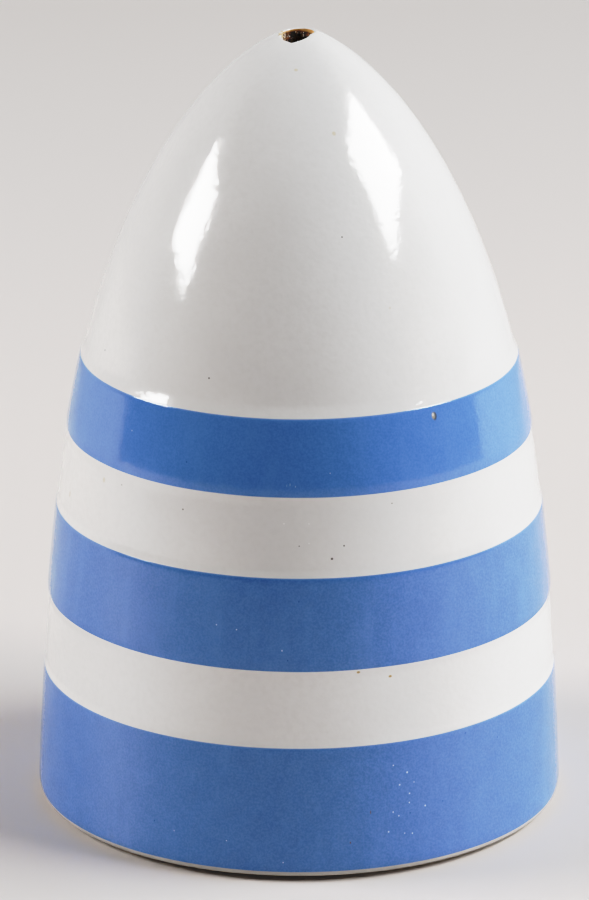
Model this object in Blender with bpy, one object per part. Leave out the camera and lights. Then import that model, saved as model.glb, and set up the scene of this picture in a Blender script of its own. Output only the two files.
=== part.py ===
"""Salt shaker: a turned earthenware body with raised blue slip bands and a cork in its base.

Units are metres and +Z is up. The origin is the centre of the foot, on the table.
Every piece is turned about the Z axis, so each shape is an outline of (radius, height) points.
"""

import math

import bmesh
import bpy

# Outside of the body: a leaning flank that rounds over into a blunt nose
BASE_RADIUS = 0.03017
APEX_HEIGHT = 0.09085
FLANK_LEAN = 0.0476
SHOULDER_POWER = 3.4
NOSE_POWER = 0.662

# Walls of the body
FLANK_WALL = 0.0042
CROWN_WALL = 0.0050
FLOOR_THICKNESS = 0.0050
FLOOR_FILLET = 0.0030

# Pour hole through the nose
POUR_HOLE_RADIUS = 0.0018
POUR_RIM_ROUND = 0.0005

# Foot: a rounded rim that clears the table, and a ring inside it that stands on the table round a recess
FOOT_EDGE_HEIGHT = 0.0012
FOOT_RIM_CLEARANCE = 0.0006
FOOT_RIM_ROUND = 0.0005
FOOT_INSET = 0.0026
FOOT_RING_FLARE = 0.0004
FOOT_RING_WIDTH = 0.0036
FOOT_RING_ROUND = 0.0006
RECESS_DEPTH = 0.0038
RECESS_FILLET = 0.0015

# Filling hole in the floor, and the cork that wedges into it
FILLING_HOLE_RADIUS = 0.0112
FILLING_HOLE_EDGE = 0.0005
CORK_TAPER = 0.07
CORK_CLEARANCE = 0.0002
CORK_LENGTH = 0.0145
CORK_EDGE = 0.0007
CORK_LIFT = 0.0012

# Slip bands and the white stripes between them, stacked up from the foot edge
LOWER_BAND_WIDTH = 0.0144
LOWER_STRIPE_WIDTH = 0.0089
MIDDLE_BAND_WIDTH = 0.0107
UPPER_STRIPE_WIDTH = 0.0090
UPPER_BAND_WIDTH = 0.0086
SLIP_THICKNESS = 0.0002
SLIP_BOND_GAP = 0.00003
SLIP_EDGE_BEVEL = 0.0003

# Facets of the turned surfaces
TURN_STEPS = 60
ZONE_STEPS = 3
NOSE_STEPS = 13
CAVITY_STEPS = 14
ARC_STEPS = 4
SMOOTH_ANGLE = math.radians(40)
WELD_DISTANCE = 1e-6

# Finishes, with colours in linear RGB
GLAZED_WHITE = (0.76, 0.75, 0.73)
SLIP_BLUE = (0.075, 0.205, 0.585)
CORK_TAN = (0.42, 0.25, 0.12)
GLAZE_ROUGHNESS = 0.12
CORK_ROUGHNESS = 0.85


def bullet_share(height, apex_height):
    """Share of the leaning flank's radius that is left at a height: 1 at the table and 0 at the apex."""
    return (1 - (height / apex_height) ** SHOULDER_POWER) ** NOSE_POWER


def bullet_height(share, apex_height):
    """Height at which that share of the flank's radius is left."""
    return apex_height * (1 - share ** (1 / NOSE_POWER)) ** (1 / SHOULDER_POWER)


def bullet_radius(height, base_radius, apex_height):
    return (base_radius - FLANK_LEAN * height) * bullet_share(height, apex_height)


def outer_radius(height):
    return bullet_radius(height, BASE_RADIUS, APEX_HEIGHT)


def cavity_radius(height):
    return bullet_radius(height, BASE_RADIUS - FLANK_WALL, APEX_HEIGHT - CROWN_WALL)


def height_at_radius(radius, base_radius, apex_height):
    """Height where a bullet outline has closed in to this radius, found by halving the interval."""
    low, high = 0.0, apex_height
    while high - low > WELD_DISTANCE:
        middle = (low + high) / 2
        if bullet_radius(middle, base_radius, apex_height) > radius:
            low = middle
        else:
            high = middle
    return low


def nose_outline(start_height, end_radius, base_radius, apex_height, steps):
    """Points from start_height up to where the outline has closed in to end_radius, in even radius steps."""
    end_height = height_at_radius(end_radius, base_radius, apex_height)
    first = bullet_share(start_height, apex_height)
    last = bullet_share(end_height, apex_height)
    points = []
    for step in range(steps + 1):
        height = bullet_height(first + (last - first) * step / steps, apex_height)
        points.append((bullet_radius(height, base_radius, apex_height), height))
    return points


def arc(centre, radii, start_degrees, end_degrees):
    """Points on an upright ellipse, with the angle counted from straight outwards towards up."""
    points = []
    for step in range(ARC_STEPS + 1):
        angle = math.radians(start_degrees + (end_degrees - start_degrees) * step / ARC_STEPS)
        points.append((centre[0] + radii[0] * math.cos(angle), centre[1] + radii[1] * math.sin(angle)))
    return points


def zone_heights(bottom, top):
    return [bottom + (top - bottom) * step / ZONE_STEPS for step in range(ZONE_STEPS + 1)]


def zone_edges():
    """Heights of the edges between bands and stripes, from the foot edge to the top of the upper band."""
    edges = [FOOT_EDGE_HEIGHT]
    widths = (LOWER_BAND_WIDTH, LOWER_STRIPE_WIDTH, MIDDLE_BAND_WIDTH, UPPER_STRIPE_WIDTH, UPPER_BAND_WIDTH)
    for width in widths:
        edges.append(edges[-1] + width)
    return edges


def filling_hole_radius(height):
    """The hole narrows upwards with the cork's taper, from its mouth in the recess."""
    return FILLING_HOLE_RADIUS - CORK_TAPER * (height - RECESS_DEPTH)


def without_repeats(points):
    """The outline without points that lie on the one before."""
    kept = [points[0]]
    for point in points[1:]:
        if math.dist(point, kept[-1]) > WELD_DISTANCE:
            kept.append(point)
    if math.dist(kept[0], kept[-1]) <= WELD_DISTANCE:
        kept.pop()
    return kept


def body_outside():
    """Foot ring and rim, banded flank and nose, up to the rim of the pour hole."""
    ring_radius = BASE_RADIUS - FOOT_INSET
    rim_centre = (outer_radius(FOOT_EDGE_HEIGHT) - FOOT_RIM_ROUND, FOOT_EDGE_HEIGHT)
    points = [(ring_radius, 0), (ring_radius + FOOT_RING_FLARE, FOOT_RIM_CLEARANCE)]
    points += arc(rim_centre, (FOOT_RIM_ROUND, FOOT_EDGE_HEIGHT - FOOT_RIM_CLEARANCE), -90, 0)
    edges = zone_edges()
    for bottom, top in zip(edges, edges[1:]):
        points += [(outer_radius(height), height) for height in zone_heights(bottom, top)]
    rim_radius = POUR_HOLE_RADIUS + POUR_RIM_ROUND
    return points + nose_outline(edges[-1], rim_radius, BASE_RADIUS, APEX_HEIGHT, NOSE_STEPS)


def body_inside():
    """Pour hole and salt cavity, from the rim down to the floor round the filling hole."""
    rim_radius = POUR_HOLE_RADIUS + POUR_RIM_ROUND
    rim_height = height_at_radius(rim_radius, BASE_RADIUS, APEX_HEIGHT)
    points = arc((rim_radius, rim_height - POUR_RIM_ROUND), (POUR_RIM_ROUND, POUR_RIM_ROUND), 90, 180)
    floor_height = RECESS_DEPTH + FLOOR_THICKNESS
    fillet_height = floor_height + FLOOR_FILLET
    cavity_base = BASE_RADIUS - FLANK_WALL
    cavity_apex = APEX_HEIGHT - CROWN_WALL
    points += reversed(nose_outline(fillet_height, POUR_HOLE_RADIUS, cavity_base, cavity_apex, CAVITY_STEPS))
    fillet_centre = (cavity_radius(fillet_height) - FLOOR_FILLET, fillet_height)
    return points + arc(fillet_centre, (FLOOR_FILLET, FLOOR_FILLET), 0, -90)


def body_underside():
    """Filling hole, recess and foot ring, from the floor of the cavity down to the table."""
    floor_height = RECESS_DEPTH + FLOOR_THICKNESS
    mouth_height = RECESS_DEPTH + FILLING_HOLE_EDGE
    ring_radius = BASE_RADIUS - FOOT_INSET - FOOT_RING_WIDTH
    points = [
        (filling_hole_radius(floor_height - FILLING_HOLE_EDGE) + FILLING_HOLE_EDGE, floor_height),
        (filling_hole_radius(floor_height - FILLING_HOLE_EDGE), floor_height - FILLING_HOLE_EDGE),
        (filling_hole_radius(mouth_height), mouth_height),
        (filling_hole_radius(mouth_height) + FILLING_HOLE_EDGE, RECESS_DEPTH),
    ]
    recess_centre = (ring_radius - RECESS_FILLET, RECESS_DEPTH - RECESS_FILLET)
    points += arc(recess_centre, (RECESS_FILLET, RECESS_FILLET), 90, 0)
    ring_centre = (ring_radius + FOOT_RING_ROUND, FOOT_RING_ROUND)
    return points + arc(ring_centre, (FOOT_RING_ROUND, FOOT_RING_ROUND), 180, 270)


def band_outline(bottom, top):
    """A skin of slip on the flank, with its two edges bevelled where the lathe tool cut them."""
    heights = zone_heights(bottom, top)
    inner = [(outer_radius(height) + SLIP_BOND_GAP, height) for height in heights]
    heights = zone_heights(bottom + SLIP_EDGE_BEVEL, top - SLIP_EDGE_BEVEL)
    outer = [(outer_radius(height) + SLIP_THICKNESS, height) for height in heights]
    return inner + outer[::-1]


def cork_outline():
    """A tapered plug with both rims bevelled, standing on its wide end at height 0."""
    wide = filling_hole_radius(CORK_LIFT) - CORK_CLEARANCE
    narrow = filling_hole_radius(CORK_LIFT + CORK_LENGTH) - CORK_CLEARANCE
    rim_step = CORK_TAPER * CORK_EDGE
    return [
        (0, 0),
        (wide - CORK_EDGE, 0),
        (wide - rim_step, CORK_EDGE),
        (narrow + rim_step, CORK_LENGTH - CORK_EDGE),
        (narrow - CORK_EDGE, CORK_LENGTH),
        (0, CORK_LENGTH),
    ]


def material(name, colour, roughness):
    made = bpy.data.materials.new(name)
    made.use_nodes = True
    shader = made.node_tree.nodes["Principled BSDF"]
    shader.inputs["Base Color"].default_value = (*colour, 1)
    shader.inputs["Roughness"].default_value = roughness
    shader.inputs["Metallic"].default_value = 0
    made.diffuse_color = (*colour, 1)
    return made


def turned(name, outline, closed, finish):
    """Spins an outline once round the Z axis. An open outline starts and ends on the axis."""
    mesh = bmesh.new()
    verts = [mesh.verts.new((radius, 0, height)) for radius, height in outline]
    edges = [mesh.edges.new(pair) for pair in zip(verts, verts[1:])]
    if closed:
        edges.append(mesh.edges.new((verts[-1], verts[0])))
    bmesh.ops.spin(
        mesh,
        geom=verts + edges,
        cent=(0, 0, 0),
        axis=(0, 0, 1),
        angle=math.tau,
        steps=TURN_STEPS,
        use_merge=True,
    )
    bmesh.ops.remove_doubles(mesh, verts=mesh.verts, dist=WELD_DISTANCE)
    bmesh.ops.recalc_face_normals(mesh, faces=mesh.faces)
    data = bpy.data.meshes.new(name)
    mesh.to_mesh(data)
    mesh.free()
    data.shade_smooth()
    data.set_sharp_from_angle(angle=SMOOTH_ANGLE)
    data.materials.append(finish)
    piece = bpy.data.objects.new(name, data)
    bpy.context.scene.collection.objects.link(piece)
    return piece


def make_body():
    white = material("glazed_white", GLAZED_WHITE, GLAZE_ROUGHNESS)
    outline = without_repeats(body_outside() + body_inside() + body_underside())
    return turned("ceramic_body", outline, True, white)


def make_bands(body):
    blue = material("slip_blue", SLIP_BLUE, GLAZE_ROUGHNESS)
    edges = zone_edges()
    names = ("lower_slip_band", "middle_slip_band", "upper_slip_band")
    for name, bottom, top in zip(names, edges[0::2], edges[1::2]):
        band = turned(name, band_outline(bottom, top), True, blue)
        band.parent = body


def make_cork(body):
    """The cork's own origin is the middle of its wide end, on the line that it is pulled out along."""
    tan = material("cork_tan", CORK_TAN, CORK_ROUGHNESS)
    cork = turned("cork_stopper", cork_outline(), False, tan)
    cork.parent = body
    cork.location = (0, 0, CORK_LIFT)


def build():
    for old in list(bpy.data.objects):
        bpy.data.objects.remove(old)
    body = make_body()
    make_bands(body)
    make_cork(body)


build()
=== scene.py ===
"""Looks of the salt shaker: a glazed body, three blue slip bands and a cork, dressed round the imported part.

Units are metres and +Z is up. The shaker stands on its foot at the origin.
The photograph looks along +Y, so its left is at -X.
Every piece is turned about the Z axis, so each shape starts as an outline of (radius, height) points.
Colours are in linear RGB.
"""

import math
from collections import namedtuple

import bmesh
import bpy
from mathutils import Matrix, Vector, noise


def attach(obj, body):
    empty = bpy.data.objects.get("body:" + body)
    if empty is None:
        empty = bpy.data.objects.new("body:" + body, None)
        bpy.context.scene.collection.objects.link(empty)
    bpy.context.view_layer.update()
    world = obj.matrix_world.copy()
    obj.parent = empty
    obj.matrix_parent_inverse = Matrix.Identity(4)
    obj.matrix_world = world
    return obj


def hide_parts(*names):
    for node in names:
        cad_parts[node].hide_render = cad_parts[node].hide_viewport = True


MM = 0.001

# Outside of the body, a quarter of a millimetre taller than in the solids, as in the photograph
BASE_RADIUS = 0.03018
APEX_HEIGHT = 0.09110
FLANK_LEAN = 0.0474
SHOULDER_POWER = 3.41
NOSE_POWER = 0.6623

# Walls, foot and filling hole, with the same values as the solids
FLANK_WALL = 0.0042
CROWN_WALL = 0.0050
FLOOR_THICKNESS = 0.0050
FLOOR_FILLET = 0.0030
FOOT_EDGE_HEIGHT = 0.0012
FOOT_RIM_CLEARANCE = 0.0006
FOOT_RIM_ROUND = 0.0005
FOOT_INSET = 0.0026
FOOT_RING_FLARE = 0.0004
FOOT_RING_WIDTH = 0.0036
FOOT_RING_ROUND = 0.0006
RECESS_DEPTH = 0.0038
RECESS_FILLET = 0.0015
FILLING_HOLE_RADIUS = 0.0112
FILLING_HOLE_EDGE = 0.0005

# Pour hole, with a rim that was punched a little askew and has a wide, pointed chip on its near side
POUR_HOLE_RADIUS = 0.0018
POUR_RIM_ROUND = 0.00025
RIM_TILT = 0.085
RIM_SHIFT = -0.0002
RIM_REACH = 0.0042
RIM_CHIP_DIRECTION = math.radians(-104)
RIM_CHIP_SPREAD = math.radians(62)
RIM_CHIP_WIDTH = 0.00095
RIM_CHIP_DEPTH = 0.0016
RIM_ROUGHNESS = 0.00008
RIM_ROUGHNESS_SCALE = 1800
HOLE_WALL_MARGIN = 1.02

# Cork
CORK_TAPER = 0.07
CORK_CLEARANCE = 0.0002
CORK_LENGTH = 0.0145
CORK_EDGE = 0.0007
CORK_LIFT = 0.0012
CORK_UNEVENNESS = 0.00012
CORK_WAVE_SCALE = 350
CORK_CRUMB_SCALE = 900
CORK_CRUMB_SHARE = 0.6

# Slip bands from the foot up: clay swells up to each colour edge, and the band rolls off to it
Edge = namedtuple("Edge", "height clay_rise clay_reach roll roll_reach")
Band = namedtuple("Band", "name node low high sag")
BANDS = (
    Band(
        "lower_band",
        "lower_slip_band",
        Edge(FOOT_EDGE_HEIGHT, 0.05 * MM, 0.30 * MM, 0.12 * MM, 0.90 * MM),
        Edge(15.85 * MM, 0.12 * MM, 0.95 * MM, 0.05 * MM, 0.60 * MM),
        -0.01 * MM,
    ),
    Band(
        "middle_band",
        "middle_slip_band",
        Edge(24.75 * MM, 0.15 * MM, 1.10 * MM, 0.09 * MM, 1.10 * MM),
        Edge(35.45 * MM, 0.14 * MM, 1.00 * MM, 0.05 * MM, 0.55 * MM),
        0.01 * MM,
    ),
    Band(
        "upper_band",
        "upper_slip_band",
        Edge(44.45 * MM, 0.16 * MM, 1.20 * MM, 0.10 * MM, 1.30 * MM),
        Edge(53.1 * MM, 0.25 * MM, 1.50 * MM, 0.06 * MM, 0.55 * MM),
        0.02 * MM,
    ),
)
BAND_TUCK = 0.00006
BAND_TUCK_DEPTH = 0.00002
BAND_TUCK_REACH = 0.00015
BED_DEPTH = 0.00005
BAND_ROOT = 0.00003

# Single marks on the outside, by azimuth in degrees from the camera's side, positive to the right
Mark = namedtuple("Mark", "azimuth height radius stretch colour")
IRON_FLECK = (0.13, 0.12, 0.11, 1)
TAN_FLECK = (0.55, 0.42, 0.22, 1)
PALE_STAIN = (0.75, 0.70, 0.59, 1)
PINHOLE = (0.98, 0.98, 0.98, 1)
GREY_FLECK = (0.30, 0.28, 0.26, 1)
FAINT_FLECK = (0.38, 0.36, 0.34, 1)
# Pale sparkles: painted glints on the glaze of the bands
PAINTED_GLINT = (0.58, 0.71, 0.92, 1)
PALE_RUN = (0.45, 0.57, 0.82, 1)
DARK_PIT = (0.22, 0.19, 0.20, 1)
WHITE_MARKS = (
    Mark(7.6, 37.55 * MM, 0.16 * MM, 1.0, IRON_FLECK),
    Mark(10.5, 38.95 * MM, 0.11 * MM, 1.0, IRON_FLECK),
    Mark(0.0, 39.05 * MM, 0.09 * MM, 1.0, (0.35, 0.33, 0.31, 1)),
    Mark(22.7, 43.15 * MM, 0.10 * MM, 1.0, GREY_FLECK),
    Mark(-24.9, 56.75 * MM, 0.13 * MM, 1.0, GREY_FLECK),
    Mark(-28.8, 42.05 * MM, 0.12 * MM, 1.0, FAINT_FLECK),
    Mark(-48.1, 42.95 * MM, 0.11 * MM, 1.0, FAINT_FLECK),
    Mark(15.1, 71.85 * MM, 0.10 * MM, 1.0, IRON_FLECK),
    Mark(-66.1, 56.15 * MM, 0.12 * MM, 1.0, IRON_FLECK),
    Mark(13.2, 24.45 * MM, 0.28 * MM, 0.7, TAN_FLECK),
    Mark(20.6, 23.55 * MM, 0.26 * MM, 0.7, TAN_FLECK),
    Mark(-112, 90.48 * MM, 0.34 * MM, 0.8, TAN_FLECK),
    Mark(-94, 90.44 * MM, 0.36 * MM, 0.8, (0.66, 0.53, 0.33, 1)),
    Mark(-78, 90.40 * MM, 0.32 * MM, 0.8, TAN_FLECK),
    Mark(18.8, 81.95 * MM, 0.30 * MM, 1.2, PALE_STAIN),
    Mark(-3.4, 87.85 * MM, 0.30 * MM, 0.7, PALE_STAIN),
    Mark(-55.1, 42.65 * MM, 0.30 * MM, 1.3, PALE_STAIN),
    Mark(-72.2, 38.55 * MM, 0.26 * MM, 1.8, PALE_STAIN),
    Mark(-3.6, 41.55 * MM, 0.12 * MM, 1.0, PINHOLE),
    Mark(2.3, 39.35 * MM, 0.10 * MM, 1.0, PINHOLE),
    Mark(2.3, 41.55 * MM, 0.09 * MM, 1.3, PINHOLE),
)
BLUE_MARKS = (
    Mark(36.6, 51.91 * MM, 0.38 * MM, 1.7, (0.13, 0.15, 0.20, 1)),
    Mark(36.2, 51.99 * MM, 0.30 * MM, 1.8, (0.42, 0.40, 0.35, 1)),
    Mark(36.1, 52.11 * MM, 0.16 * MM, 1.6, (0.72, 0.71, 0.68, 1)),
    Mark(-46.4, 49.35 * MM, 0.09 * MM, 1.3, (0.55, 0.66, 0.85, 1)),
    Mark(7.5, 47.15 * MM, 0.08 * MM, 1.5, PALE_RUN),
    Mark(-2.2, 45.95 * MM, 0.05 * MM, 7.0, PALE_RUN),
    Mark(-3.0, 45.85 * MM, 0.04 * MM, 6.0, (0.36, 0.50, 0.78, 1)),
    Mark(-0.9, 45.75 * MM, 0.05 * MM, 3.0, PALE_RUN),
    Mark(15.5, 7.95 * MM, 0.07 * MM, 4.0, DARK_PIT),
    Mark(11.0, 4.55 * MM, 0.09 * MM, 2.0, DARK_PIT),
    # Painted glints on the lower and middle bands
    Mark(20.8, 13.16 * MM, 0.11 * MM, 1.0, PAINTED_GLINT),
    Mark(24.0, 12.10 * MM, 0.13 * MM, 1.2, PAINTED_GLINT),
    Mark(25.6, 10.82 * MM, 0.09 * MM, 0.8, PAINTED_GLINT),
    Mark(22.2, 10.76 * MM, 0.12 * MM, 1.0, PAINTED_GLINT),
    Mark(24.5, 9.57 * MM, 0.11 * MM, 1.0, PAINTED_GLINT),
    Mark(24.4, 8.49 * MM, 0.09 * MM, 1.5, PAINTED_GLINT),
    Mark(28.2, 7.78 * MM, 0.12 * MM, 1.2, PAINTED_GLINT),
    Mark(20.6, 7.65 * MM, 0.09 * MM, 1.6, PAINTED_GLINT),
    Mark(21.9, 7.11 * MM, 0.10 * MM, 1.0, PAINTED_GLINT),
    Mark(19.5, 5.38 * MM, 0.12 * MM, 1.0, PAINTED_GLINT),
    Mark(23.2, 4.94 * MM, 0.09 * MM, 1.0, PAINTED_GLINT),
    Mark(25.0, 4.78 * MM, 0.10 * MM, 1.3, PAINTED_GLINT),
    Mark(-18.8, 29.69 * MM, 0.10 * MM, 1.0, PAINTED_GLINT),
    Mark(-14.1, 29.36 * MM, 0.10 * MM, 1.0, PAINTED_GLINT),
    Mark(-3.8, 27.23 * MM, 0.10 * MM, 1.2, PAINTED_GLINT),
    Mark(-15.7, 4.57 * MM, 0.09 * MM, 1.0, PAINTED_GLINT),
    Mark(-3.4, 2.39 * MM, 0.09 * MM, 1.0, PAINTED_GLINT),
)
MARK_CORE = 0.5

# Patterns of the finishes: soft clouds between two limits, and small spots in a share of the cells
Clouds = namedtuple("Clouds", "scale detail roughness low high", defaults=(0.5, 0, 1))
Spots = namedtuple("Spots", "scale size share colour")
SPOT_CORE = 0.4
SPOT_CHOICE_STEP = 0.001

# White glaze
GLAZE_IOR = 1.5
GLAZE_CLOUDS = Clouds(70, 3, 0.5, 0.3, 0.7)
GLAZE_SHADE = (0.838, 0.836, 0.835, 1)
GLAZE_LIGHT = (0.878, 0.876, 0.875, 1)
PITS = Clouds(1400, 2, 0.5, 0.35, 0.75)
PIT_STRENGTH = 0.4
PIT_COLOUR = (0.815, 0.813, 0.808, 1)
IRON_SPOTS = Spots(420, 0.045, 0.05, (0.42, 0.40, 0.38, 1))
TAN_SPOTS = Spots(200, 0.05, 0.05, (0.70, 0.63, 0.50, 1))
# Thin glaze at the foot edge, painted greyer as shade where the rim turns under towards the table
THIN_GLAZE_SHADE_REACH = 0.3 * MM
THIN_GLAZE_SHADE_COLOUR = (0.55, 0.53, 0.50, 1)
SHEEN = Clouds(400, 2, 0.5, 0.3, 0.7)
GLAZE_ROUGHNESS = (0.07, 0.115)
RIPPLE = Clouds(330, 1)
GLAZE_RIPPLE_DEPTH = 0.00003
GLAZE_GRAIN = Clouds(1500, 1)
GLAZE_GRAIN_DEPTH = 0.000016

# Blue slip
SLIP_GRAIN = Clouds(4200, 2, 0.6, 0.3, 0.7)
SLIP_SHADE = (0.127, 0.248, 0.567, 1)
SLIP_LIGHT = (0.161, 0.295, 0.631, 1)
SLIP_MOTTLE = Clouds(420, 3, 0.5, 0.35, 0.65)
MOTTLE_SHADE = (0.135, 0.260, 0.584, 1)
MOTTLE_LIGHT = (0.170, 0.308, 0.648, 1)
# Painted light: the upper band is painted paler, where the lamps leave it darker than the lower bands
UPPER_BAND_PAINTED_LIGHT = (0.21, 0.40, 0.88, 1)
UPPER_BAND_LIGHT_SHARE = 0.2
# Faint upright runs in the slip; they also stand in for lighter upright streaks mirrored in the glaze, a
# painted reflection
SLIP_RUNS_AND_REFLECTIONS = Clouds(420, 3, 0.5, 0.48, 0.75)
RUN_AND_REFLECTION_SQUEEZE = (1, 1, 0.12)
RUN_AND_REFLECTION_STRENGTH = 0.30
RUN_AND_REFLECTION_COLOUR = (0.19, 0.34, 0.70, 1)
DARK_SLIP_SPOTS = Spots(800, 0.10, 0.06, (0.07, 0.17, 0.45, 1))
PALE_SLIP_SPOTS = Spots(640, 0.07, 0.02, (0.42, 0.55, 0.80, 1))
# Paler line along each band's upper rim: thinner slip there, and a painted highlight where the edge catches
# light from above
THIN_SLIP_AND_HIGHLIGHT_REACH = 0.22 * MM
THIN_SLIP_AND_HIGHLIGHT_SHARE = 0.55
THIN_SLIP_AND_HIGHLIGHT_COLOUR = (0.30, 0.52, 0.80, 1)
SLIP_ROUGHNESS = (0.05, 0.09)
SLIP_RIPPLE_DEPTH = 0.000025
SLIP_RELIEF = Clouds(1500, 2)
SLIP_RELIEF_DEPTH = 0.00003

# Bare clay of the foot, stained, and painted darker still as shade in the gap under the rim
FOOT_STAINS = Clouds(300, 4, 0.6, 0.3, 0.7)
SHADED_FOOT_TAN = (0.24, 0.15, 0.08, 1)
SHADED_FOOT_BROWN = (0.12, 0.065, 0.03, 1)
FOOT_GRIT = Clouds(3000, 3, 0.7, 0.3, 0.7)
FOOT_ROUGHNESS = (0.75, 0.95)
FOOT_GRIT_DEPTH = 0.00003

# Wall of the pour hole: stains, and near-black painted shade below the rim
HOLE_CRUST_AND_SHADE = Clouds(2500, 4, 0.7, 0.40, 0.70)
HOLE_SHADE_BLACK = (0.012, 0.010, 0.011, 1)
HOLE_BROWN = (0.30, 0.13, 0.04, 1)
# Pale spots: painted glints on grains of old salt in the hole
SALT_GLINTS = Spots(3200, 0.40, 0.60, (0.85, 0.83, 0.80, 1))
HOLE_STREAKS = Clouds(5200, 1, 0.5, 0.42, 0.55)
TAN_END_START = 0.0014
TAN_END_FULL = 0.0018
TAN_END_COLOUR = (0.80, 0.66, 0.46, 1)
TAN_RIM_START = 0.0003
TAN_RIM_END = 0.0006
TAN_RIM_COLOUR = (0.62, 0.36, 0.13, 1)
HOLE_GRIT = Clouds(4000, 3, 0.7, 0.3, 0.7)
HOLE_ROUGHNESS = (0.5, 0.9)
HOLE_GRIT_DEPTH = 0.00006

# Bare cork
CORK_GRAIN = Clouds(600, 5, 0.65, 0.3, 0.7)
CORK_DARK = (0.34, 0.19, 0.085, 1)
CORK_LIGHT = (0.56, 0.36, 0.18, 1)
CORK_PORES = Spots(900, 0.35, 0.25, (0.10, 0.05, 0.025, 1))
CORK_ROUGHNESS = (0.75, 0.95)
CORK_RELIEF = Clouds(1200, 4, 0.7)
CORK_RELIEF_DEPTH = 0.0001

# Unevenness of hand-held turning and of the run of the glaze
SWELL = 0.000018
SWELL_SCALE = 110
WANDER = 0.000025
WANDER_SCALE = 160
WANDER_OFFSET = (7, 3, 5)
WANDER_FADE_HEIGHT = 0.004

# Facets
TURN_STEPS = 192
CORK_TURN_STEPS = 96
CORK_END_STEPS = 8
EDGE_STEPS = 10
EDGE_CROWDING = 1.5
FLAT_STEP = 0.0009
NOSE_STEPS = 72
CAVITY_STEPS = 40
ARC_STEPS = 8
SMOOTH_ANGLE = math.radians(50)
WELD_DISTANCE = 1e-7

# Camera of the photograph
CAMERA_PLACE = (0, -0.7048, 0.28255)
CAMERA_PITCH = math.radians(90 - 18.92)
CAMERA_TURN = math.radians(0.044)
CAMERA_LENS = 260
CAMERA_SENSOR = 36

# Softboxes, by azimuth and elevation in degrees from the shaker, with azimuth 0 towards the camera
Softbox = namedtuple("Softbox", "name azimuth elevation width height power tint")
SOFTBOXES = (
    Softbox("key_softbox", 83.7, 37.6, 0.51, 0.30, 5.95, (1.0, 1.0, 1.0)),
    Softbox("fill_softbox", -90.8, 26.7, 0.30, 0.30, 3.76, (1.0, 0.975, 0.955)),
)
SOFTBOX_DISTANCE = 0.7
SOFTBOX_AIM = (0, 0, 0.06)

# Bright faces of the softboxes and two low cards, which the glaze mirrors
Panel = namedtuple("Panel", "name glow corners")
PANELS = (
    Panel("key_panel", 38, ((103.2, 48.3), (58.7, 47.3), (66.7, 23.3), (86.4, 26.9), (101.6, 27.1))),
    Panel("fill_panel", 42, ((-97.8, 34.8), (-72.7, 31.8), (-74.0, 15.9), (-95.9, 17.0))),
)
Card = namedtuple("Card", "name near_azimuth far_azimuth near_glow far_glow")
CARDS = (
    Card("left_card", -94.5, -150, 1.6, 0.6),
    Card("right_card", 97.5, 150, 1.75, 0.65),
)
CARD_NEAR_DISTANCE = 0.30
CARD_FAR_DISTANCE = 0.237
CARD_HEIGHT = 0.06
GLOWING_COLOUR = (1, 0.99, 0.98, 1)

# Floor that the camera sees, and the table just under it that lights and is mirrored
FLOOR_COLOUR = (0.765, 0.724, 0.697, 1)
# Painted light: the floor is painted paler behind the shaker, where the lamps leave it too dark
PAINTED_LIGHT_FLOOR_COLOUR = (0.850, 0.808, 0.785, 1)
PAINTED_LIGHT_FLOOR_START = -0.01
PAINTED_LIGHT_FLOOR_FULL = 0.15
GLOW = 0.88
GLOW_START = 0.33
GLOW_FULL = 0.85
FLOOR_ROUGHNESS = 0.6
FLOOR_REACH = 8
TABLE_FRONT = -0.75
TABLE_BACK = 0.33
TABLE_HALF_WIDTH = 0.45
TABLE_LEFT_END = 0.02
TABLE_RIGHT_END = 0.10
TABLE_WING_SLOPE = 0.267
TABLE_DROP = 0.0001

# Backdrop for the camera, and the room for the light
BACKDROP_COLOUR = (0.72, 0.705, 0.70, 1)
LEFT_WALL_COLOUR = (0.28, 0.265, 0.25, 1)
RIGHT_WALL_COLOUR = (1.08, 1.08, 1.08, 1)
WALL_TOP = 0.5
WALL_BLEND = 0.1
ROOM_COLOUR = (0.004, 0.005, 0.007, 1)
WALL_START = 0.13
WALL_FULL = 0.19

# Response of the camera, as pairs of light in the scene and light in the picture
TONE_POINTS = (
    (0.021, 0.0078),
    (0.080, 0.0241),
    (0.188, 0.124),
    (0.352, 0.296),
    (0.578, 0.568),
    (0.791, 0.702),
    (1.00, 0.812),
    (1.34, 0.882),
    (2.0, 0.938),
)
TONE_END = (3.0, 1.0)
COMBINED_CURVE = 3


def bullet_share(height, apex_height):
    """Share of the leaning flank's radius that is left at a height: 1 at the table and 0 at the apex."""
    return (1 - (height / apex_height) ** SHOULDER_POWER) ** NOSE_POWER


def bullet_height(share, apex_height):
    """Height at which that share of the flank's radius is left."""
    return apex_height * (1 - share ** (1 / NOSE_POWER)) ** (1 / SHOULDER_POWER)


def bullet_radius(height, base_radius, apex_height):
    return (base_radius - FLANK_LEAN * height) * bullet_share(height, apex_height)


def clay_radius(height):
    return bullet_radius(height, BASE_RADIUS, APEX_HEIGHT)


def height_at_radius(radius, base_radius, apex_height):
    """Height where a bullet outline has closed in to this radius, found by halving the interval."""
    low, high = 0.0, apex_height
    while high - low > WELD_DISTANCE:
        middle = (low + high) / 2
        if bullet_radius(middle, base_radius, apex_height) > radius:
            low = middle
        else:
            high = middle
    return low


def clay_height(radius):
    return height_at_radius(radius, BASE_RADIUS, APEX_HEIGHT)


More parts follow.
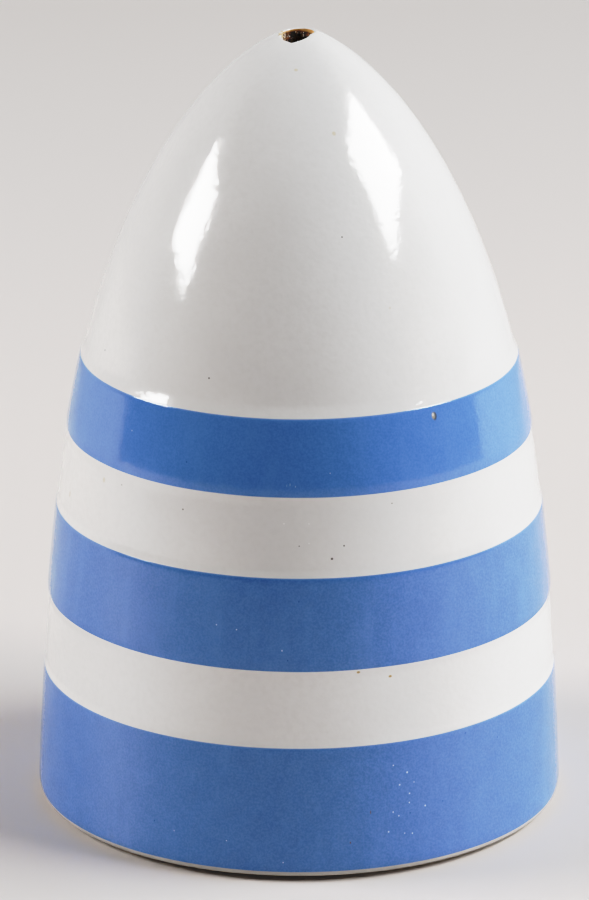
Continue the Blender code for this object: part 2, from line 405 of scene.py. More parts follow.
def nose_outline(start_height, end_radius, base_radius, apex_height, steps):
    """Points from start_height up to where the outline closes in to end_radius, in even radius steps."""
    end_height = height_at_radius(end_radius, base_radius, apex_height)
    first = bullet_share(start_height, apex_height)
    last = bullet_share(end_height, apex_height)
    points = []
    for step in range(steps + 1):
        height = bullet_height(first + (last - first) * step / steps, apex_height)
        points.append((bullet_radius(height, base_radius, apex_height), height))
    return points


def arc(centre, radii, start_degrees, end_degrees):
    """Points on an upright ellipse, with the angle counted from straight outwards towards up."""
    points = []
    for step in range(ARC_STEPS + 1):
        angle = math.radians(start_degrees + (end_degrees - start_degrees) * step / ARC_STEPS)
        points.append((centre[0] + radii[0] * math.cos(angle), centre[1] + radii[1] * math.sin(angle)))
    return points


def between(low, high):
    """Heights from low to high, both included, about FLAT_STEP apart."""
    steps = max(1, round((high - low) / FLAT_STEP))
    return [low + (high - low) * step / steps for step in range(steps + 1)]


def crowded(reach):
    """Distances from 0 to reach, closest together at 0."""
    return [reach * (step / EDGE_STEPS) ** EDGE_CROWDING for step in range(EDGE_STEPS + 1)]


def swelling(distance, edge):
    """How far the clay stands out at this distance from a colour edge, on the white side."""
    share = min(distance / edge.clay_reach, 1)
    return edge.clay_rise * (1 - (4 * share - share**4) / 3)


def rolling(distance, edge):
    """How far a band has rolled off at this distance from its edge."""
    return edge.roll * (1 - min(distance / edge.roll_reach, 1)) ** 2


def tucking(distance):
    """Extra dip that hides a band's rim under the glaze of the white clay next to it."""
    return BAND_TUCK_DEPTH * (1 - min(distance / BAND_TUCK_REACH, 1)) ** 2


def band_lift(band, height):
    """How far a band's face stands out from the plain bullet shape."""
    share = (height - band.low.height) / (band.high.height - band.low.height)
    low_lip = band.low.clay_rise + band.low.roll
    high_lip = band.high.clay_rise + band.high.roll
    lift = low_lip + (high_lip - low_lip) * share - band.sag * math.sin(math.pi * share)
    from_low = height - band.low.height
    from_high = band.high.height - height
    lift -= rolling(from_low, band.low) + rolling(from_high, band.high)
    return lift - tucking(from_low) - tucking(from_high)


def band_bed(band, height):
    """How far the clay under a band stands out from the plain bullet shape."""
    share = (height - band.low.height) / (band.high.height - band.low.height)
    return band.low.clay_rise + (band.high.clay_rise - band.low.clay_rise) * share - BED_DEPTH


def without_repeats(points):
    """The outline without points that lie on the one before."""
    kept = [points[0]]
    for point in points[1:]:
        if math.dist(point, kept[-1]) > WELD_DISTANCE:
            kept.append(point)
    if math.dist(kept[0], kept[-1]) <= WELD_DISTANCE:
        kept.pop()
    return kept


def stripe_outline(below, above):
    """White clay from the edge of the band below to the edge of the band above."""
    low_side = [below.height + distance for distance in crowded(below.clay_reach)]
    high_side = [above.height - distance for distance in crowded(above.clay_reach)][::-1]
    heights = low_side + between(low_side[-1], high_side[0])[1:-1] + high_side
    points = []
    for height in heights:
        lift = swelling(height - below.height, below) + swelling(above.height - height, above)
        points.append((clay_radius(height) + lift, height))
    return points


def bed_outline(band):
    """Clay under a band, set in a little from the two colour edges."""
    heights = between(band.low.height + 2 * BAND_TUCK, band.high.height - 2 * BAND_TUCK)
    return [(clay_radius(height) + band_bed(band, height), height) for height in heights]


def foot_outline():
    """Foot ring, the gap over the table and the rounded rim, up to the edge of the lower band."""
    ring_radius = BASE_RADIUS - FOOT_INSET
    edge = BANDS[0].low
    rim_radius = clay_radius(edge.height) + edge.clay_rise
    points = [(ring_radius, 0), (ring_radius + FOOT_RING_FLARE, FOOT_RIM_CLEARANCE)]
    rim_radii = (FOOT_RIM_ROUND, FOOT_EDGE_HEIGHT - FOOT_RIM_CLEARANCE)
    return points + arc((rim_radius - FOOT_RIM_ROUND, FOOT_EDGE_HEIGHT), rim_radii, -90, 0)


def shoulder_outline():
    """White clay over the upper band and on up the nose to the rim of the pour hole."""
    edge = BANDS[-1].high
    points = []
    for distance in crowded(edge.clay_reach):
        height = edge.height + distance
        points.append((clay_radius(height) + swelling(distance, edge), height))
    rim_radius = POUR_HOLE_RADIUS + POUR_RIM_ROUND
    return points + nose_outline(points[-1][1], rim_radius, BASE_RADIUS, APEX_HEIGHT, NOSE_STEPS)


def chamber_outline():
    """Pour hole and salt chamber, from the rim down to the floor round the filling hole."""
    rim_radius = POUR_HOLE_RADIUS + POUR_RIM_ROUND
    rim_centre = (rim_radius, clay_height(rim_radius) - POUR_RIM_ROUND)
    points = arc(rim_centre, (POUR_RIM_ROUND, POUR_RIM_ROUND), 90, 180)
    fillet_height = RECESS_DEPTH + FLOOR_THICKNESS + FLOOR_FILLET
    base = BASE_RADIUS - FLANK_WALL
    apex = APEX_HEIGHT - CROWN_WALL
    hole_foot = height_at_radius(POUR_HOLE_RADIUS, base, apex)
    points += [(POUR_HOLE_RADIUS, height) for height in between(hole_foot, points[-1][1])[-2:0:-1]]
    points += reversed(nose_outline(fillet_height, POUR_HOLE_RADIUS, base, apex, CAVITY_STEPS))
    fillet_centre = (bullet_radius(fillet_height, base, apex) - FLOOR_FILLET, fillet_height)
    return points + arc(fillet_centre, (FLOOR_FILLET, FLOOR_FILLET), 0, -90)


def filling_hole_radius(height):
    """The hole narrows upwards with the cork's taper, from its mouth in the recess."""
    return FILLING_HOLE_RADIUS - CORK_TAPER * (height - RECESS_DEPTH)


def underside_outline():
    """Filling hole, recess and inside of the foot ring, from the chamber's floor down to the table."""
    floor_height = RECESS_DEPTH + FLOOR_THICKNESS
    upper = floor_height - FILLING_HOLE_EDGE
    mouth = RECESS_DEPTH + FILLING_HOLE_EDGE
    ring_radius = BASE_RADIUS - FOOT_INSET - FOOT_RING_WIDTH
    edge_radii = (FILLING_HOLE_EDGE, FILLING_HOLE_EDGE)
    points = arc((filling_hole_radius(upper) + FILLING_HOLE_EDGE, upper), edge_radii, 90, 180)
    points += arc((filling_hole_radius(mouth) + FILLING_HOLE_EDGE, mouth), edge_radii, 180, 270)
    recess_centre = (ring_radius - RECESS_FILLET, RECESS_DEPTH - RECESS_FILLET)
    points += arc(recess_centre, (RECESS_FILLET, RECESS_FILLET), 90, 0)
    ring_centre = (ring_radius + FOOT_RING_ROUND, FOOT_RING_ROUND)
    return points + arc(ring_centre, (FOOT_RING_ROUND, FOOT_RING_ROUND), 180, 270)


def body_outline():
    points = foot_outline()
    for band, band_above in zip(BANDS, BANDS[1:]):
        points += bed_outline(band) + stripe_outline(band.high, band_above.low)
    points += bed_outline(BANDS[-1]) + shoulder_outline()
    return without_repeats(points + chamber_outline() + underside_outline())


def band_outline(band):
    """A closed skin: the face from edge to edge, and a back that roots in the clay under it."""
    low_side = [band.low.height + distance for distance in crowded(band.low.roll_reach)]
    high_side = [band.high.height - distance for distance in crowded(band.high.roll_reach)][::-1]
    heights = low_side + between(low_side[-1], high_side[0])[1:-1] + high_side
    face = [(clay_radius(height) + band_lift(band, height), height) for height in heights]
    back = []
    for height in between(band.low.height + BAND_TUCK, band.high.height - BAND_TUCK):
        back.append((clay_radius(height) + band_bed(band, height) - BAND_ROOT, height))
    return face + back[::-1]


def flat_end(radius, height):
    """Points from the axis out to a radius, which is left out, across a flat end of the cork."""
    return [(radius * step / CORK_END_STEPS, height) for step in range(CORK_END_STEPS)]


def cork_outline():
    """A tapered plug with both rims rounded, standing on its wide end at CORK_LIFT."""
    wide = filling_hole_radius(CORK_LIFT) - CORK_CLEARANCE
    narrow = filling_hole_radius(CORK_LIFT + CORK_LENGTH) - CORK_CLEARANCE
    low, high = CORK_LIFT + CORK_EDGE, CORK_LIFT + CORK_LENGTH - CORK_EDGE
    rim_radii = (CORK_EDGE, CORK_EDGE)
    bottom_rim = arc((wide - CORK_EDGE, low), rim_radii, -90, 0)
    top_rim = arc((narrow - CORK_EDGE, high), rim_radii, 0, 90)
    bottom = flat_end(bottom_rim[0][0], CORK_LIFT)
    top = flat_end(top_rim[-1][0], CORK_LIFT + CORK_LENGTH)[::-1]
    side = []
    for height in between(low, high)[1:-1]:
        share = (height - low) / (high - low)
        side.append((wide + (narrow - wide) * share, height))
    return bottom + bottom_rim + side + top_rim + top


def face_radius(height):
    """Radius of the outside at a height, on a band's face or on the white clay."""
    for band in BANDS:
        if band.low.height < height < band.high.height:
            return clay_radius(height) + band_lift(band, height)
    return clay_radius(height)


def hand_turned(place):
    """Moves a point a little: the glaze swells in and out, and the turned lines wander up and down."""
    radius = math.hypot(place.x, place.y)
    fade = min(place.z / WANDER_FADE_HEIGHT, 1) if place.z > 0 else 0
    swell = SWELL * noise.noise(place * SWELL_SCALE) * fade
    wander = WANDER * noise.noise(place * WANDER_SCALE + Vector(WANDER_OFFSET)) * fade
    if radius > WELD_DISTANCE:
        place = place + Vector((place.x, place.y, 0)) * (swell / radius)
    return place + Vector((0, 0, wander))


def askew_rim(place):
    """Tilts and shifts the rim of the pour hole and chips its near side, and leaves the rest alone."""
    radius = math.hypot(place.x, place.y)
    rim_radius = POUR_HOLE_RADIUS + POUR_RIM_ROUND
    rim_height = clay_height(rim_radius)
    depth = rim_height - place.z
    if radius > RIM_REACH or depth > CROWN_WALL / 2:
        return place
    nearness = min(1, (RIM_REACH - radius) / (RIM_REACH - rim_radius))
    tilt = RIM_TILT * place.x * nearness * (1 - max(0, depth) / CROWN_WALL * 2)
    shift = RIM_SHIFT * nearness
    if radius < rim_radius:
        nearness = min(1, max(0, 1 - depth / RIM_CHIP_DEPTH))
    turn = math.atan2(place.y, place.x) - RIM_CHIP_DIRECTION
    turn = math.atan2(math.sin(turn), math.cos(turn))
    chip = max(0, 1 - abs(turn) / RIM_CHIP_SPREAD)
    ragged = noise.noise(Vector((place.x, place.y, 0)) * RIM_ROUGHNESS_SCALE)
    push = (RIM_CHIP_WIDTH * chip + RIM_ROUGHNESS * ragged) * nearness
    face = max(radius, rim_radius)
    fall = clay_height(face) - clay_height(face + push)
    outward = Vector((place.x, place.y, 0)) / radius
    return place + outward * push + Vector((shift, 0, tilt - fall))


def crumbly(place):
    """Moves a point of the cork in and out, as its grain does."""
    middle = Vector((0, 0, place.z))
    outward = place - middle
    if outward.length < WELD_DISTANCE:
        return place
    wave = noise.noise(place * CORK_WAVE_SCALE)
    wave += CORK_CRUMB_SHARE * noise.noise(place * CORK_CRUMB_SCALE)
    return place + outward.normalized() * (CORK_UNEVENNESS * min(wave, 0))


def one_finish(radius, height):
    """The same finish on every face."""
    return 0


def body_finish(radius, height):
    """Which of the body's finishes a face has, in the order in which make_body adds them."""
    glaze, bare_foot, hole_wall = range(3)
    if height < FOOT_RIM_CLEARANCE:
        return bare_foot
    if radius < POUR_HOLE_RADIUS * HOLE_WALL_MARGIN:
        return hole_wall
    return glaze


def turned(name, outline, closed, steps, move, finish=one_finish):
    """Spins an outline once round the Z axis, gives each face its finish, and moves the points.

    An open outline starts and ends on the axis.
    """
    mesh = bmesh.new()
    verts = [mesh.verts.new((radius, 0, height)) for radius, height in outline]
    edges = [mesh.edges.new(pair) for pair in zip(verts, verts[1:])]
    if closed:
        edges.append(mesh.edges.new((verts[-1], verts[0])))
    bmesh.ops.spin(
        mesh,
        geom=verts + edges,
        cent=(0, 0, 0),
        axis=(0, 0, 1),
        angle=math.tau,
        steps=steps,
        use_merge=True,
    )
    bmesh.ops.remove_doubles(mesh, verts=mesh.verts, dist=WELD_DISTANCE)
    bmesh.ops.recalc_face_normals(mesh, faces=mesh.faces)
    for face in mesh.faces:
        centre = face.calc_center_median()
        face.material_index = finish(math.hypot(centre.x, centre.y), centre.z)
    for vert in mesh.verts:
        vert.co = move(vert.co)
    data = bpy.data.meshes.new(name)
    mesh.to_mesh(data)
    mesh.free()
    data.shade_smooth()
    data.set_sharp_from_angle(angle=SMOOTH_ANGLE)
    piece = bpy.data.objects.new(name, data)
    bpy.context.scene.collection.objects.link(piece)
    return piece


def node(tree, kind, inputs=None, **settings):
    """Adds a shader node. A socket in inputs is linked, and any other value is set."""
    made = tree.nodes.new(kind)
    for name, value in settings.items():
        setattr(made, name, value)
    for key, value in (inputs or {}).items():
        if isinstance(value, bpy.types.NodeSocket):
            tree.links.new(value, made.inputs[key])
        else:
            made.inputs[key].default_value = value
    return made


def new_material(name):
    made = bpy.data.materials.new(name)
    made.use_nodes = True
    tree = made.node_tree
    place = node(tree, "ShaderNodeTexCoord").outputs["Object"]
    return made, tree, tree.nodes["Principled BSDF"], place


def cloud(tree, place, clouds):
    """The bare noise of a pattern of clouds."""
    inputs = {
        "Vector": place,
        "Scale": clouds.scale,
        "Detail": clouds.detail,
        "Roughness": clouds.roughness,
    }
    return node(tree, "ShaderNodeTexNoise", inputs).outputs["Fac"]


def ramp(tree, value, low, high, low_to=0.0, high_to=1.0):
    """A value between two limits, stretched smoothly to two others."""
    inputs = {"Value": value, "From Min": low, "From Max": high, "To Min": low_to, "To Max": high_to}
    return node(tree, "ShaderNodeMapRange", inputs, interpolation_type="SMOOTHSTEP").outputs["Result"]


def clouded(tree, place, clouds, low_to=0.0, high_to=1.0):
    """A pattern of clouds, stretched between its limits."""
    return ramp(tree, cloud(tree, place, clouds), clouds.low, clouds.high, low_to, high_to)


def mixed(tree, share, first, second):
    """The first colour with a share of the second mixed in."""
    share_socket, first_socket, second_socket, result_socket = 0, 6, 7, 2
    inputs = {share_socket: share, first_socket: first, second_socket: second}
    return node(tree, "ShaderNodeMix", inputs, data_type="RGBA").outputs[result_socket]


def times(tree, first, second):
    return node(tree, "ShaderNodeMath", {0: first, 1: second}, operation="MULTIPLY").outputs[0]


def spotted(tree, place, colour, spots):
    """The colour with small round spots in a share of the cells of a scattered pattern."""
    cells = node(tree, "ShaderNodeTexVoronoi", {"Vector": place, "Scale": spots.scale}, feature="F1")
    spot = ramp(tree, cells.outputs["Distance"], spots.size, spots.size * SPOT_CORE)
    draw = node(tree, "ShaderNodeSeparateColor", {"Color": cells.outputs["Color"]}).outputs["Red"]
    chosen = ramp(tree, draw, 1 - spots.share, 1 - spots.share + SPOT_CHOICE_STEP)
    return mixed(tree, times(tree, spot, chosen), colour, spots.colour)


def marked(tree, place, colour, marks):
    """The colour with single marks laid over it, each stretched upwards from a circle."""
    for mark in marks:
        azimuth = math.radians(mark.azimuth)
        radius = face_radius(mark.height)
        centre = Vector((radius * math.sin(azimuth), -radius * math.cos(azimuth), mark.height))
        squeeze = Vector((1, 1, 1 / mark.stretch))
        inputs = {0: place, 1: squeeze, 2: -centre * squeeze}
        offset = node(tree, "ShaderNodeVectorMath", inputs, operation="MULTIPLY_ADD").outputs["Vector"]
        distance = node(tree, "ShaderNodeVectorMath", {0: offset}, operation="LENGTH").outputs["Value"]
        share = ramp(tree, distance, mark.radius, mark.radius * MARK_CORE)
        colour = mixed(tree, share, colour, mark.colour)
    return colour


def depth_of(tree, place):
    return node(tree, "ShaderNodeSeparateXYZ", {"Vector": place}).outputs["Y"]


def height_of(tree, place):
    return node(tree, "ShaderNodeSeparateXYZ", {"Vector": place}).outputs["Z"]


def thin_slip_and_highlight(tree, place):
    """1 along the upper rim of each band, where the slip thins out and a painted highlight stands for the
    light the edge catches, and 0 elsewhere.
    """
    height = height_of(tree, place)
    share = 0.0
    for band in BANDS:
        rim = band.high.height
        below = ramp(tree, height, rim - THIN_SLIP_AND_HIGHLIGHT_REACH, rim)
        above = ramp(tree, height, rim + THIN_SLIP_AND_HIGHLIGHT_REACH, rim)
        inputs = {0: share, 1: times(tree, below, above)}
        share = node(tree, "ShaderNodeMath", inputs, operation="MAXIMUM").outputs[0]
    return share


def bumped(tree, shader, height, distance, base=None):
    inputs = {"Height": height, "Strength": 1.0, "Distance": distance}
    if base is not None:
        inputs["Normal"] = base
    made = node(tree, "ShaderNodeBump", inputs)
    tree.links.new(made.outputs["Normal"], shader.inputs["Normal"])
    return made.outputs["Normal"]


def white_glaze():
    """Clear gloss over white earthenware, faintly clouded and specked, and thin at the foot, where it is
    painted greyer as shade on the rim that turns under.
    """
    made, tree, shader, place = new_material("white_glaze")
    colour = mixed(tree, clouded(tree, place, GLAZE_CLOUDS), GLAZE_SHADE, GLAZE_LIGHT)
    colour = mixed(tree, clouded(tree, place, PITS, 0.0, PIT_STRENGTH), colour, PIT_COLOUR)
    colour = spotted(tree, place, colour, IRON_SPOTS)
    colour = spotted(tree, place, colour, TAN_SPOTS)
    colour = marked(tree, place, colour, WHITE_MARKS)
    # Painted shade: the glaze darkens to grey from just above the foot edge down round the rim
    thin_glaze_shade = ramp(tree, height_of(tree, place), FOOT_EDGE_HEIGHT + THIN_GLAZE_SHADE_REACH, FOOT_EDGE_HEIGHT)
    colour = mixed(tree, thin_glaze_shade, colour, THIN_GLAZE_SHADE_COLOUR)
    tree.links.new(colour, shader.inputs["Base Color"])
    tree.links.new(clouded(tree, place, SHEEN, *GLAZE_ROUGHNESS), shader.inputs["Roughness"])
    shader.inputs["IOR"].default_value = GLAZE_IOR
    ripple = bumped(tree, shader, cloud(tree, place, RIPPLE), GLAZE_RIPPLE_DEPTH)
    bumped(tree, shader, cloud(tree, place, GLAZE_GRAIN), GLAZE_GRAIN_DEPTH, ripple)
    return made


def blue_slip():
    """Clear gloss over mottled blue slip, with faint upright runs that also stand in for mirrored streaks as
    painted reflection, and the upper band painted paler as painted light.
    """
    made, tree, shader, place = new_material("blue_slip")
    grain = clouded(tree, place, SLIP_GRAIN)
    colour = mixed(tree, grain, SLIP_SHADE, SLIP_LIGHT)
    lighter = mixed(tree, grain, MOTTLE_SHADE, MOTTLE_LIGHT)
    colour = mixed(tree, clouded(tree, place, SLIP_MOTTLE), colour, lighter)
    # Painted light: paler from the middle stripe upwards, so on the upper band
    top_stripe = (BANDS[1].high.height, BANDS[2].low.height)
    upper = ramp(tree, height_of(tree, place), *top_stripe, 0.0, UPPER_BAND_LIGHT_SHARE)
    colour = mixed(tree, upper, colour, UPPER_BAND_PAINTED_LIGHT)
    # Lighter upright streaks: slip runs and painted reflection
    drawn_out = node(tree, "ShaderNodeVectorMath", {0: place, 1: RUN_AND_REFLECTION_SQUEEZE}, operation="MULTIPLY")
    runs_and_reflections = clouded(tree, drawn_out.outputs["Vector"], SLIP_RUNS_AND_REFLECTIONS, 0.0, RUN_AND_REFLECTION_STRENGTH)
    colour = mixed(tree, runs_and_reflections, colour, RUN_AND_REFLECTION_COLOUR)
    colour = spotted(tree, place, colour, DARK_SLIP_SPOTS)
    colour = spotted(tree, place, colour, PALE_SLIP_SPOTS)
    # Paler upper rims: thin slip and painted highlight
    colour = mixed(tree, times(tree, thin_slip_and_highlight(tree, place), THIN_SLIP_AND_HIGHLIGHT_SHARE), colour, THIN_SLIP_AND_HIGHLIGHT_COLOUR)
    colour = marked(tree, place, colour, BLUE_MARKS)
    tree.links.new(colour, shader.inputs["Base Color"])
    tree.links.new(clouded(tree, place, SHEEN, *SLIP_ROUGHNESS), shader.inputs["Roughness"])
    shader.inputs["IOR"].default_value = GLAZE_IOR
    ripple = bumped(tree, shader, cloud(tree, place, RIPPLE), SLIP_RIPPLE_DEPTH)
    bumped(tree, shader, cloud(tree, place, SLIP_RELIEF), SLIP_RELIEF_DEPTH, ripple)
    return made


def bare_clay():
    """Unglazed foot, stained by the table and by use, and painted darker still as shade in the gap under the
    rim.
    """
    made, tree, shader, place = new_material("bare_clay")
    # Stained brown clay, darkened further as painted shade in the gap under the rim
    colour = mixed(tree, clouded(tree, place, FOOT_STAINS), SHADED_FOOT_TAN, SHADED_FOOT_BROWN)
    tree.links.new(colour, shader.inputs["Base Color"])
    grit = cloud(tree, place, FOOT_GRIT)
    roughness = ramp(tree, grit, FOOT_GRIT.low, FOOT_GRIT.high, *FOOT_ROUGHNESS)
    tree.links.new(roughness, shader.inputs["Roughness"])
    bumped(tree, shader, grit, FOOT_GRIT_DEPTH)
    return made


def stained_and_shaded_hole():
    """Wall of the pour hole: tan at the rim and the left end, and below painted near-black as shade over
    brown crust, with pale spots as painted glints on grains of old salt.
    """
    made, tree, shader, place = new_material("stained_and_shaded_hole")
    # Painted shade: near-black below the rim of the hole, clouded with brown crust
    crust_and_shade = mixed(tree, clouded(tree, place, HOLE_CRUST_AND_SHADE), HOLE_SHADE_BLACK, HOLE_BROWN)
    # Pale spots as painted glints on grains of old salt
    crust_and_shade = spotted(tree, place, crust_and_shade, SALT_GLINTS)
    side = node(tree, "ShaderNodeSeparateXYZ", {"Vector": place}).outputs["X"]
    left_end = ramp(tree, side, -TAN_END_START, -TAN_END_FULL)
    streaks = clouded(tree, place, HOLE_STREAKS)
    colour = mixed(tree, times(tree, left_end, streaks), crust_and_shade, TAN_END_COLOUR)
    rim_height = clay_height(POUR_HOLE_RADIUS)
    rim = ramp(tree, height_of(tree, place), rim_height - TAN_RIM_END, rim_height - TAN_RIM_START)
    colour = mixed(tree, rim, colour, TAN_RIM_COLOUR)
    tree.links.new(colour, shader.inputs["Base Color"])
    grit = cloud(tree, place, HOLE_GRIT)
    roughness = ramp(tree, grit, HOLE_GRIT.low, HOLE_GRIT.high, *HOLE_ROUGHNESS)
    tree.links.new(roughness, shader.inputs["Roughness"])
    bumped(tree, shader, grit, HOLE_GRIT_DEPTH)
    return made


def cork_bark():
    """Bare cork with dark pores and streaks."""
    made, tree, shader, place = new_material("cork_bark")
    grain = clouded(tree, place, CORK_GRAIN)
    colour = mixed(tree, grain, CORK_DARK, CORK_LIGHT)
    colour = spotted(tree, place, colour, CORK_PORES)
    tree.links.new(colour, shader.inputs["Base Color"])
    tree.links.new(ramp(tree, grain, 0, 1, *CORK_ROUGHNESS), shader.inputs["Roughness"])
    bumped(tree, shader, cloud(tree, place, CORK_RELIEF), CORK_RELIEF_DEPTH)
    return made


def body_place(place):
    return askew_rim(hand_turned(place))


def make_body():
    piece = turned("glazed_body", body_outline(), True, TURN_STEPS, body_place, body_finish)
    for finish in (white_glaze(), bare_clay(), stained_and_shaded_hole()):
        piece.data.materials.append(finish)
    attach(piece, "shaker")
    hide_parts("ceramic_body")


def make_bands():
    finish = blue_slip()
    for band in BANDS:
        piece = turned(band.name, band_outline(band), True, TURN_STEPS, hand_turned)
        piece.data.materials.append(finish)
        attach(piece, "shaker")
        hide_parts(band.node)


def make_cork():
    piece = turned("cork", cork_outline(), False, CORK_TURN_STEPS, crumbly)
    piece.data.materials.append(cork_bark())
    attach(piece, "stopper")
    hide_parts("cork_stopper")


def stage_sheet(name, corners, finish):
    data = bpy.data.meshes.new(name)
    data.from_pydata(corners, [], [tuple(range(len(corners)))])
    data.materials.append(finish)
    sheet = bpy.data.objects.new(name, data)
    bpy.context.scene.collection.objects.link(sheet)
    return sheet


def pale_floor(name):
    """Matt floor, painted a little paler behind the shaker as painted light."""
    made, tree, shader, place = new_material(name)
    depth = depth_of(tree, place)
    # Painted light: paler from just behind the shaker backwards
    back = ramp(tree, depth, PAINTED_LIGHT_FLOOR_START, PAINTED_LIGHT_FLOOR_FULL)
    tree.links.new(mixed(tree, back, FLOOR_COLOUR, PAINTED_LIGHT_FLOOR_COLOUR), shader.inputs["Base Color"])
    shader.inputs["Roughness"].default_value = FLOOR_ROUGHNESS
    return made, shader, place


def make_floor():
    """The floor that the camera sees, which glows beyond the lamps until it meets the backdrop."""
    finish, shader, place = pale_floor("pale_floor")
    tree = finish.node_tree
    distance = node(tree, "ShaderNodeVectorMath", {0: place}, operation="LENGTH").outputs["Value"]
    shader.inputs["Emission Color"].default_value = BACKDROP_COLOUR
    glow = ramp(tree, distance, GLOW_START, GLOW_FULL, 0.0, GLOW)
    tree.links.new(glow, shader.inputs["Emission Strength"])
    far = FLOOR_REACH
    corners = [(-far, -far, 0), (far, -far, 0), (far, far, 0), (-far, far, 0)]
    floor = stage_sheet("floor", corners, finish)
    floor.visible_glossy = False
    floor.visible_diffuse = False
    floor.visible_shadow = False


def make_table():
    """A table of the same colour that sends light up to the shaker, and that its glaze mirrors."""
    finish = pale_floor("pale_table")[0]
    width = TABLE_HALF_WIDTH
    left_wing = width + (TABLE_BACK - TABLE_LEFT_END) / TABLE_WING_SLOPE
    right_wing = width + (TABLE_BACK - TABLE_RIGHT_END) / TABLE_WING_SLOPE
    left_edge = [(-left_wing, TABLE_BACK), (-width, TABLE_LEFT_END), (-width, TABLE_FRONT)]
    right_edge = [(width, TABLE_FRONT), (width, TABLE_RIGHT_END), (right_wing, TABLE_BACK)]
    corners = [(x, y, -TABLE_DROP) for x, y in left_edge + right_edge]
    table = stage_sheet("table", corners, finish)
    table.visible_camera = False
    table.visible_shadow = False


def direction(azimuth, elevation):
    """The unit vector from the shaker in a direction given in degrees."""
    turn = math.radians(azimuth)
    level = math.cos(math.radians(elevation))
    return Vector((math.sin(turn) * level, -math.cos(turn) * level, math.sin(math.radians(elevation))))


def make_softboxes():
    for softbox in SOFTBOXES:
        lamp = bpy.data.lights.new(softbox.name, "AREA")
        lamp.shape = "RECTANGLE"
        lamp.size = softbox.width
        lamp.size_y = softbox.height
        lamp.energy = softbox.power
        lamp.color = softbox.tint
        towards = direction(softbox.azimuth, softbox.elevation)
        place = bpy.data.objects.new(softbox.name, lamp)
        place.location = Vector(SOFTBOX_AIM) + towards * SOFTBOX_DISTANCE
        place.rotation_euler = towards.to_track_quat("Z", "Y").to_euler()
        place.visible_camera = False
        place.visible_glossy = False
        bpy.context.scene.collection.objects.link(place)


def glowing(name):
    """A surface that only gives light."""
    made = bpy.data.materials.new(name)
    made.use_nodes = True
    shader = made.node_tree.nodes["Principled BSDF"]
    shader.inputs["Base Color"].default_value = (0, 0, 0, 1)
    shader.inputs["Specular IOR Level"].default_value = 0
    shader.inputs["Emission Color"].default_value = GLOWING_COLOUR
    return made, shader


def mirrored_only(sheet):
    """Hides a bright sheet from everything but the glaze that mirrors it."""
    sheet.visible_camera = False
    sheet.visible_diffuse = False
    sheet.visible_shadow = False


def make_panels():
    """The bright faces of the softboxes, as the glaze mirrors them."""
    for panel in PANELS:
        finish, shader = glowing(panel.name)
        shader.inputs["Emission Strength"].default_value = panel.glow
        corners = []
        for azimuth, elevation in panel.corners:
            corners.append(Vector(SOFTBOX_AIM) + direction(azimuth, elevation) * SOFTBOX_DISTANCE)
        mirrored_only(stage_sheet(panel.name, corners, finish))


def make_cards():
    """Two low, bright cards behind the shaker, one on each side, that only its glaze mirrors."""
    for card in CARDS:
        finish, shader = glowing(card.name)
        tree = finish.node_tree
        place = node(tree, "ShaderNodeTexCoord").outputs["Generated"]
        glow = ramp(tree, depth_of(tree, place), 0, 1, card.near_glow, card.far_glow)
        tree.links.new(glow, shader.inputs["Emission Strength"])
        near = direction(card.near_azimuth, 0) * CARD_NEAR_DISTANCE
        far = direction(card.far_azimuth, 0) * CARD_FAR_DISTANCE
        top = Vector((0, 0, CARD_HEIGHT))
        mirrored_only(stage_sheet(card.name, [near, far, far + top, near + top], finish))


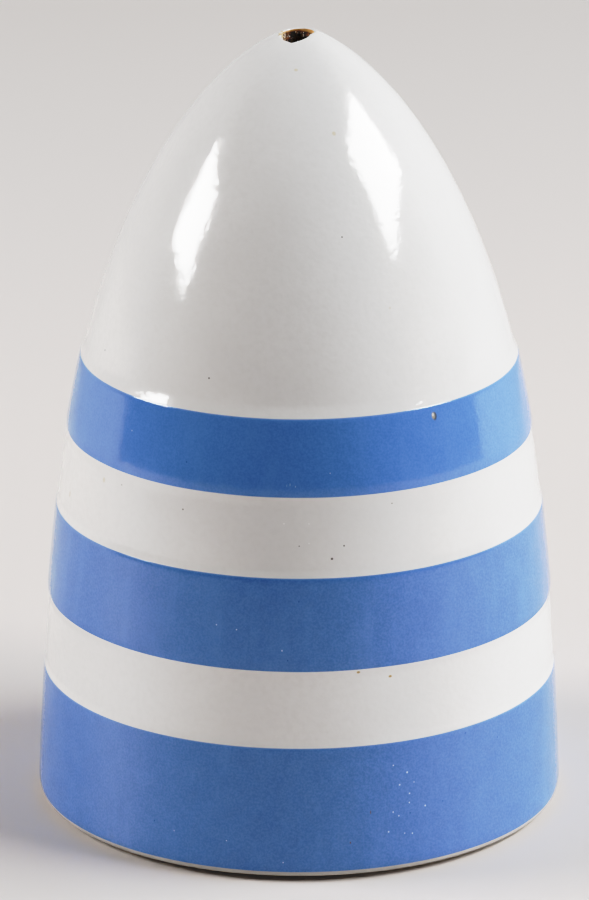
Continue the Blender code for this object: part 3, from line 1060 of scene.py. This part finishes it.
def make_room():
    """A pale backdrop for the camera, and for the light a room with pale walls behind and a dark front."""
    world = bpy.data.worlds.new("studio")
    world.use_nodes = True
    bpy.context.scene.world = world
    tree = world.node_tree
    way = node(tree, "ShaderNodeTexCoord").outputs["Generated"]
    side, depth, height = node(tree, "ShaderNodeSeparateXYZ", {"Vector": way}).outputs
    rays = node(tree, "ShaderNodeLightPath").outputs
    rightness = ramp(tree, side, -WALL_BLEND, WALL_BLEND)
    wall = mixed(tree, rightness, LEFT_WALL_COLOUR, RIGHT_WALL_COLOUR)
    above = ramp(tree, height, WALL_TOP - WALL_BLEND, WALL_TOP + WALL_BLEND)
    wall = mixed(tree, above, wall, ROOM_COLOUR)
    wall = mixed(tree, rays["Is Glossy Ray"], wall, BACKDROP_COLOUR)
    room = mixed(tree, ramp(tree, depth, WALL_START, WALL_FULL), ROOM_COLOUR, wall)
    colour = mixed(tree, rays["Is Camera Ray"], room, BACKDROP_COLOUR)
    tree.links.new(colour, tree.nodes["Background"].inputs["Color"])


def set_tones():
    """Gives the picture the contrast of the photograph's camera."""
    view = bpy.context.scene.view_settings
    view.view_transform = "Standard"
    view.use_curve_mapping = True
    mapping = view.curve_mapping
    mapping.clip_max_x, mapping.clip_max_y = TONE_END
    curve = mapping.curves[COMBINED_CURVE]
    curve.points[-1].location = TONE_END
    for light, shown in TONE_POINTS:
        curve.points.new(light, shown)
    for point in curve.points:
        point.handle_type = "AUTO_CLAMPED"
    mapping.update()


def make_camera():
    lens = bpy.data.cameras.new("photo_camera")
    lens.lens = CAMERA_LENS
    lens.sensor_width = CAMERA_SENSOR
    camera = bpy.data.objects.new("photo_camera", lens)
    camera.location = CAMERA_PLACE
    camera.rotation_euler = (CAMERA_PITCH, 0, CAMERA_TURN)
    bpy.context.scene.collection.objects.link(camera)
    bpy.context.scene.camera = camera


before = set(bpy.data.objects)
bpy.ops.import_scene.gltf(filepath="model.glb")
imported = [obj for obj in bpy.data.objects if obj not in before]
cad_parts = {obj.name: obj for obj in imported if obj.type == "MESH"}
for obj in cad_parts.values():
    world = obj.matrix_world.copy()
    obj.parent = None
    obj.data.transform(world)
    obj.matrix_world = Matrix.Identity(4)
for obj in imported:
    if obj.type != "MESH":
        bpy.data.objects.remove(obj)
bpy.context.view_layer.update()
set_tones()
make_camera()
make_room()
make_softboxes()
make_floor()
make_table()
make_panels()
make_cards()
make_body()
make_bands()
make_cork()
